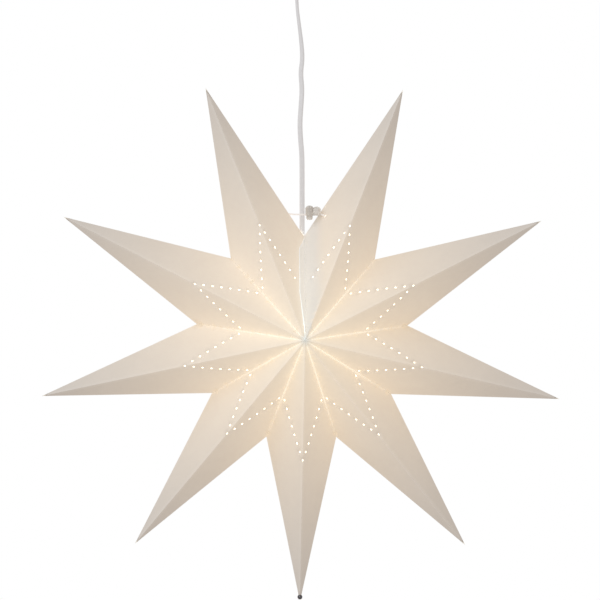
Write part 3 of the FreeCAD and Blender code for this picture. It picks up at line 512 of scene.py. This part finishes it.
def facet_inner_points(facet, dots):
    """A loose grid, and rows close beside the ridge and the valley for their rounded edges."""
    points = []
    rows = int(facet.notch.y / (GRID * 0.87)) + 1
    for j in range(1, rows):
        for k in range(int(facet.length / GRID) + 1):
            points.append(Vector((k * GRID + (j % 2) * GRID / 2, j * GRID * 0.87)))
    for v in EDGE_ROWS:
        points += [Vector((u, v)) for u in [k * GRID + 2.0 for k in range(int(facet.length / GRID))]]
        side = Vector((facet.valley.y, -facet.valley.x))
        reach = facet.notch.length
        points += [facet.valley * u + side * v for u in [k * GRID + 3.0 for k in range(int(reach / GRID))]]
    if facet.side == BACK and facet.n % POINTS == 0:
        points += [facet.from_valley(facet.notch.length * (0.86 + 0.007 * j), 0.7 * k)
                   for j in range(20) for k in range(1, 9)]
    kept = []
    for p in points:
        free = all((p - d).length > DOT / 2 + DOT_MARGIN for d in dots)
        margin = min(p.y, facet.valley_distance(p), facet.edge_distance(p))
        clear = margin > 0.4 and (margin < 1.8 or margin > 2.5) and facet.edge_distance(p) > 1.2
        if free and clear and facet.inside(p) and p.length > 4.0:
            kept.append(p)
    return kept


def facet_triangles(facet):
    """Flat mesh of a facet with its dots cut out."""
    dots = facet.dots()
    holes = [(c, DOT / 2) for c in dots]
    if facet.tie_hole():
        holes.append((facet.tie_hole(), TIE_HOLE / 2))
    outline = facet_outline(facet)
    turns = [2 * math.pi * k / RING for k in range(RING)]
    rings = [[c + Vector((math.cos(a), math.sin(a))) * r for a in turns] for c, r in holes[1:]]
    inner = facet_inner_points(facet, [c for c, _ in holes])
    points = list(outline)
    edges = [(k, (k + 1) % len(outline)) for k in range(len(outline))]
    for ring in rings:
        base = len(points)
        points += ring
        edges += [(base + k, base + (k + 1) % RING) for k in range(RING)]
    points += inner
    verts, _, faces, *_ = delaunay_2d_cdt(points, edges, [], 1, 1e-5)
    kept = []
    for face in faces:
        middle = sum((verts[k] for k in face), Vector((0.0, 0.0))) / len(face)
        if any((middle - c).length < r * 0.9 for c, r in holes) or facet.in_cord_way(middle):
            continue
        kept.append(face)
    return verts, kept


def middle_distance(place):
    return math.hypot(place.x - CENTRE.x, place.z - CENTRE.z)


def glow_at(place, share):
    """Light through the card by distance from the bulb. share is 0 on the ridge, 1 at the valley."""
    away = middle_distance(place)
    middle = 0.35 + 0.65 * min(1.0, away / HUB_RADIUS)
    return GLOW * middle * math.exp(-((away / GLOW_REACH) ** 2)) * (0.94 + 0.05 * share)


def near_at(place):
    return NEAR_GLOW * math.exp(-((middle_distance(place) / NEAR_REACH) ** 2))


def lap_edge(reach):
    """Width of the lap over the seam at a distance from the middle."""
    first, full, full_end, last = SEAM_LAP_REACH
    rise = (reach - first) / (full - first)
    fall = (last - reach) / (last - full_end)
    return SEAM_LAP * max(0.0, min(1.0, rise, fall))


def card_values(facet, p, place):
    """What the card's finish needs to know at a point, one value for each of CARD_LAYERS."""
    reach = max(0.0, p.dot(facet.valley)) / facet.notch.length
    share = math.atan2(p.y, max(p.x, 1e-6)) / math.atan2(facet.valley.y, facet.valley.x)
    share = min(1.0, share)
    valley, glow, leak, painted_seam_glow = facet.valley_distance(p), glow_at(place, share), 1.0, 0.0
    if facet.n % POINTS == 0 and facet.point == POINTS:
        valley = max(0.0, valley - lap_edge(reach * SEAM_NOTCH_RADIUS))
        leak = SEAM_LEAK
    elif facet.n % POINTS == 0:
        leak = 0.0
        glow *= 0.55 + 0.45 * max(0.0, min(1.0, (valley - SEAM_FLAP_WIDTH + 4.0) / 16.0))
        # painted light: a whiter glow on the double card, strongest close to the seam
        painted_seam_glow = SEAM_PAINTED_GLOW * max(0.0, min(1.0, (SEAM_FLAP_WIDTH + 8.0 - valley) / 12.0))
    return {"ridge": p.y * MM, "valley": valley * MM, "reach": reach, "glow": glow,
            "near": near_at(place), "leak": leak, "painted_seam_glow": painted_seam_glow}


CARD_LAYERS = ("ridge", "valley", "reach", "glow", "near", "leak", "painted_seam_glow")


def add_lap(bm, layers, side):
    """Edge of the first point that lies over the last one beside the seam."""
    facet, own = Facet(side, POINTS, 0), Facet(side, 1, 0)
    scale = facet.notch.length / SEAM_NOTCH_RADIUS
    first, _, _, last = SEAM_LAP_REACH
    rows = []
    for k in range(LAP_ROWS + 1):
        reach = first + (last - first) * k / LAP_ROWS
        width = lap_edge(reach)
        edge = max(0.0, width - 0.9)
        root = own.place(own.from_valley(reach * scale, 1.2)) + own.normal * 0.04
        row = [(root, 0.0)]
        for out, bright in ((0.4, 0.0), (max(0.5, edge), 0.0), (max(0.6, width), 1.0)):
            place = facet.place(facet.from_valley(reach * scale, out))
            row.append((place + facet.normal * (LAP_AIR + PAPER), bright))
        verts = []
        for place, bright in row:
            vert = bm.verts.new(place * MM)
            # painted light: on the lap the whiter glow is 1.4 times that of the double card
            values = {"ridge": 0.02, "valley": 0.0012 * (1.0 - bright), "reach": reach / last,
                      "glow": glow_at(place, 0.6) * 0.8, "near": near_at(place), "leak": SEAM_LEAK * bright,
                      "painted_seam_glow": 1.4 * SEAM_PAINTED_GLOW}
            for name in CARD_LAYERS:
                vert[layers[name]] = values[name]
            verts.append(vert)
        rows.append(verts)
    for a, b in zip(rows, rows[1:]):
        for k in range(3):
            face = bm.faces.new((a[k], a[k + 1], b[k + 1], b[k]))
            face.normal_update()
            if face.normal.dot(facet.normal + own.normal) < 0:
                face.normal_flip()


def paper_point(i, outside, inside):
    """One folded point as thin card with cut dots, soft creases and slightly bowed panels."""
    bm = bmesh.new()
    layers = {name: bm.verts.layers.float.new(name) for name in CARD_LAYERS}
    for side in (FRONT, BACK):
        panels = [Facet(side, i, i - 1), Facet(side, i, i)]
        inward = -(panels[0].normal + panels[1].normal).normalized()
        for facet in panels:
            verts, faces = facet_triangles(facet)
            made = []
            for p in verts:
                place = facet.place(p) + facet.normal * (BOW * facet.bulge(p))
                if p.y < 1e-4:
                    place += inward * CREASE
                vert = bm.verts.new(place * MM)
                values = card_values(facet, p, place)
                for name in CARD_LAYERS:
                    vert[layers[name]] = values[name]
                made.append(vert)
            for face in faces:
                corners = [made[k] for k in face]
                new = bm.faces.new(corners)
                new.normal_update()
                if new.normal.dot(facet.normal) < 0:
                    new.normal_flip()
        if i == 1:
            add_lap(bm, layers, side)
    bmesh.ops.remove_doubles(bm, verts=bm.verts, dist=WELD)
    loose = [v for v in bm.verts if not v.link_faces]
    bmesh.ops.delete(bm, geom=loose, context="VERTS")
    mesh = bpy.data.meshes.new(f"paper_{i}")
    bm.to_mesh(mesh)
    bm.free()
    piece = solid_object(f"paper_{i}", mesh, outside, inside)
    mesh.shade_smooth()
    mesh.set_sharp_from_angle(angle=math.radians(SHARP_FOLD))
    card = piece.modifiers.new("card", "SOLIDIFY")
    card.thickness = PAPER * MM
    card.offset = -1.0
    card.use_even_offset = True
    card.material_offset = 1
    card.material_offset_rim = 0
    apply_modifiers(piece)
    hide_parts(f"point_{i}")
    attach(piece, "star")


# ================================================================ the cord
def smooth_route(points):
    """Points along the smooth line that a route's corners pull."""
    curve = bpy.data.curves.new("route", "CURVE")
    curve.dimensions = "3D"
    spline = curve.splines.new("NURBS")
    spline.points.add(len(points) - 1)
    for point, place in zip(spline.points, points):
        point.co = (*place, 1.0)
    spline.order_u = 3
    spline.use_endpoint_u = True
    spline.resolution_u = 10
    holder = bpy.data.objects.new("route", curve)
    bpy.context.scene.collection.objects.link(holder)
    graph = bpy.context.evaluated_depsgraph_get()
    mesh = bpy.data.meshes.new_from_object(holder.evaluated_get(graph))
    line = [v.co.copy() for v in mesh.vertices]
    bpy.data.objects.remove(holder)
    bpy.data.curves.remove(curve)
    bpy.data.meshes.remove(mesh)
    return line


def cord_turn(height):
    """Turn of the flat cord about its own line, in degrees: face on at the shade, edge on at the top."""
    share = max(0.0, min(1.0, (height - TURN_FROM) / TURN_LENGTH))
    return 82.0 * share + 14.0 * math.sin(share * 9.0) * share


def twin_outline():
    """Half-round flanks and a shallow groove along the middle, millimetres."""
    r = CORD_THICK / 2
    offset = (CORD_WIDTH - CORD_THICK) / 2
    outline = []
    for k in range(CORD_CORNERS):
        a = 2 * math.pi * k / CORD_CORNERS
        side = math.copysign(1.0, math.cos(a)) if abs(math.cos(a)) > 1e-6 else 0.0
        x, y = side * offset + r * math.cos(a), r * math.sin(a)
        groove = 1.0 - 0.16 * math.exp(-((x / 0.7) ** 2))
        outline.append((x, y * groove))
    return outline


def flat_cord(mat):
    route = [Vector((x, y, SHADE_Z + z)) * MM for x, y, z in CORD_ROUTE]
    line = smooth_route(route)
    outline = twin_outline()
    bm = bmesh.new()
    rings = []
    for k, place in enumerate(line):
        ahead = (line[min(k + 1, len(line) - 1)] - line[max(k - 1, 0)]).normalized()
        side = Vector((1.0, 0.0, 0.0))
        side = (side - ahead * side.dot(ahead)).normalized()
        side = Matrix.Rotation(math.radians(cord_turn(place.z / MM - SHADE_Z)), 3, ahead) @ side
        other = ahead.cross(side)
        grip = max(0.0, min(1.0, (PRESS_HEIGHT - place.z / MM + SHADE_Z) / PRESS_LENGTH))
        pressed = MM * (1.0 - PRESS * grip)
        rings.append([bm.verts.new(place + side * x * pressed + other * y * pressed) for x, y in outline])
    count = len(outline)
    for a, b in zip(rings, rings[1:]):
        for k in range(count):
            bm.faces.new((a[k], a[(k + 1) % count], b[(k + 1) % count], b[k]))
    bm.faces.new(rings[0])
    bm.faces.new(list(reversed(rings[-1])))
    bmesh.ops.recalc_face_normals(bm, faces=bm.faces)
    mesh = bpy.data.meshes.new("flat_cord")
    bm.to_mesh(mesh)
    bm.free()
    mesh.shade_smooth()
    mesh.set_sharp_from_angle(angle=math.radians(50))
    piece = solid_object("flat_cord", mesh, mat)
    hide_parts("hanging_cord", "cord_neck")
    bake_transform(piece)


# ================================================================ finishes of the modelled nodes
def dress(node, mat):
    piece = bpy.data.objects[node]
    if not piece.material_slots:
        piece.data.materials.append(mat)
    for slot in piece.material_slots:
        slot.link = "OBJECT"
        slot.material = mat


def dress_all():
    white = moulded("white_moulding", (0.80, 0.80, 0.78), 0.42)
    gloss = moulded("white_gloss", (0.84, 0.84, 0.82), 0.2, 500.0)
    holder = moulded("holder_moulding", (0.82, 0.81, 0.79), 0.3, 700.0)
    zinc = brushed("zinc", (0.72, 0.73, 0.75), 0.35)
    brass = brushed("brass", (0.78, 0.60, 0.32), 0.28, (40, 40, 1))
    nickel = brushed("nickel", (0.74, 0.72, 0.68), 0.25, (1, 1, 30))
    clear = clear_plastic()
    finishes = {
        "ceiling_cup": white, "bulb_collar": white, "gland": gloss, "cord_grip": gloss, "gland_screw": gloss,
        "grip_screw": gloss, "holder_cap": holder, "holder_skirt": holder, "ceiling_bridge": zinc,
        "cup_screws": zinc, "gland_nut": zinc, "block_screws": brass, "terminal_screws": brass,
        "contact_sleeve": brass, "centre_contact": brass, "bulb_cap": nickel, "lock_body": clear,
        "lock_button": clear, "lock_spring": brushed("spring_wire", (0.62, 0.63, 0.65), 0.3),
        "terminal_block": moulded("block_moulding", (0.76, 0.76, 0.74), 0.5, 600.0),
        "terminal_insert": moulded("glazed_insert", (0.80, 0.77, 0.70), 0.18, 300.0),
        "bulb_contact": moulded("black_bead", (0.03, 0.03, 0.035), 0.15, 800.0),
        "bulb_globe": lit_globe(),
        "led_board": moulded("board", (0.78, 0.76, 0.62), 0.5, 900.0),
        "cord_stub": cord_insulation(),
        "cord_cores": moulded("core_insulation", (0.45, 0.50, 0.56), 0.35, 500.0),
        "tip_bead": brushed("dark_steel", (0.20, 0.20, 0.22), 0.22, (1, 1, 1)),
        "closing_tie": tie_string(),
    }
    for node, mat in finishes.items():
        dress(node, mat)


def tie_string():
    """Thin braided string with a faint warm glow of painted light."""
    mat, nodes, links, shader = material("tie_string")
    where = nodes.new("ShaderNodeTexCoord")
    wave = nodes.new("ShaderNodeTexWave")
    wave.bands_direction = "DIAGONAL"
    wave.inputs["Scale"].default_value = 420.0
    wave.inputs["Distortion"].default_value = 1.2
    wave.inputs["Detail"].default_value = 2.0
    links.new(where.outputs["Object"], wave.inputs["Vector"])
    tone = ramp(nodes, links, wave.outputs["Fac"], [(0.2, (0.84, 0.81, 0.79)), (0.8, (0.95, 0.93, 0.91))])
    links.new(tone, shader.inputs["Base Color"])
    shader.inputs["Roughness"].default_value = 0.75
    # painted light: a warm white glow that keeps the thin string bright
    shader.inputs["Emission Color"].default_value = (1.0, 0.92, 0.88, 1.0)
    shader.inputs["Emission Strength"].default_value = 0.25
    bump(nodes, links, shader, wave.outputs["Fac"], 0.4, 0.00006)
    return mat


# ================================================================ light and camera
def view_direction():
    a, e = math.radians(CAMERA_FROM_LEFT), math.radians(CAMERA_FROM_ABOVE)
    return Vector((math.sin(a) * math.cos(e), math.cos(a) * math.cos(e), -math.sin(e)))


def camera():
    scene = bpy.context.scene
    data = bpy.data.cameras.new("photo_camera")
    data.sensor_width = 36.0
    data.lens = 36.0 * CAMERA_DISTANCE / (PHOTO * PIXEL * MM)
    data.shift_x = (PHOTO / 2 - STAR_PIXEL[0]) / PHOTO
    data.shift_y = (STAR_PIXEL[1] - PHOTO / 2) / PHOTO
    data.clip_end = 50.0
    holder = bpy.data.objects.new("photo_camera", data)
    scene.collection.objects.link(holder)
    look = view_direction()
    holder.location = CENTRE * MM - look * CAMERA_DISTANCE
    holder.rotation_euler = look.to_track_quat("-Z", "Y").to_euler()
    scene.camera = holder


def area_light(name, place, target, size, power, colour):
    data = bpy.data.lights.new(name, "AREA")
    data.size = size
    data.energy = power
    data.color = colour
    holder = bpy.data.objects.new(name, data)
    bpy.context.scene.collection.objects.link(holder)
    holder.location = place
    holder.rotation_euler = (Vector(target) - Vector(place)).to_track_quat("-Z", "Y").to_euler()


def light():
    middle = CENTRE * MM
    area_light("key", (-1.8, -1.9, middle.z + 1.9), middle, 2.6, 23.0, (0.84, 0.93, 1.0))
    world = bpy.data.worlds.new("white_room")
    bpy.context.scene.world = world
    world.use_nodes = True
    nodes, links = world.node_tree.nodes, world.node_tree.links
    nodes.clear()
    out = nodes.new("ShaderNodeOutputWorld")
    mix = nodes.new("ShaderNodeMixShader")
    room = nodes.new("ShaderNodeBackground")
    room.inputs["Color"].default_value = (1.0, 0.94, 0.89, 1.0)
    room.inputs["Strength"].default_value = 0.52
    white = nodes.new("ShaderNodeBackground")
    white.inputs["Color"].default_value = (1.0, 1.0, 1.0, 1.0)
    path = nodes.new("ShaderNodeLightPath")
    seen = calc(nodes, links, "MAXIMUM", path.outputs["Is Camera Ray"], path.outputs["Is Transmission Ray"])
    links.new(seen, mix.inputs["Fac"])
    links.new(room.outputs["Background"], mix.inputs[1])
    links.new(white.outputs["Background"], mix.inputs[2])
    links.new(mix.outputs["Shader"], out.inputs["Surface"])


# ================================================================ the scene
def main():
    outside, inside = paper_outside(), paper_inside()
    for i in range(1, POINTS + 1):
        paper_point(i, outside, inside)
    flat_cord(cord_insulation())
    dress_all()
    light()
    camera()
    bpy.context.scene.view_settings.view_transform = "Standard"


main()
bpy.context.view_layer.update()
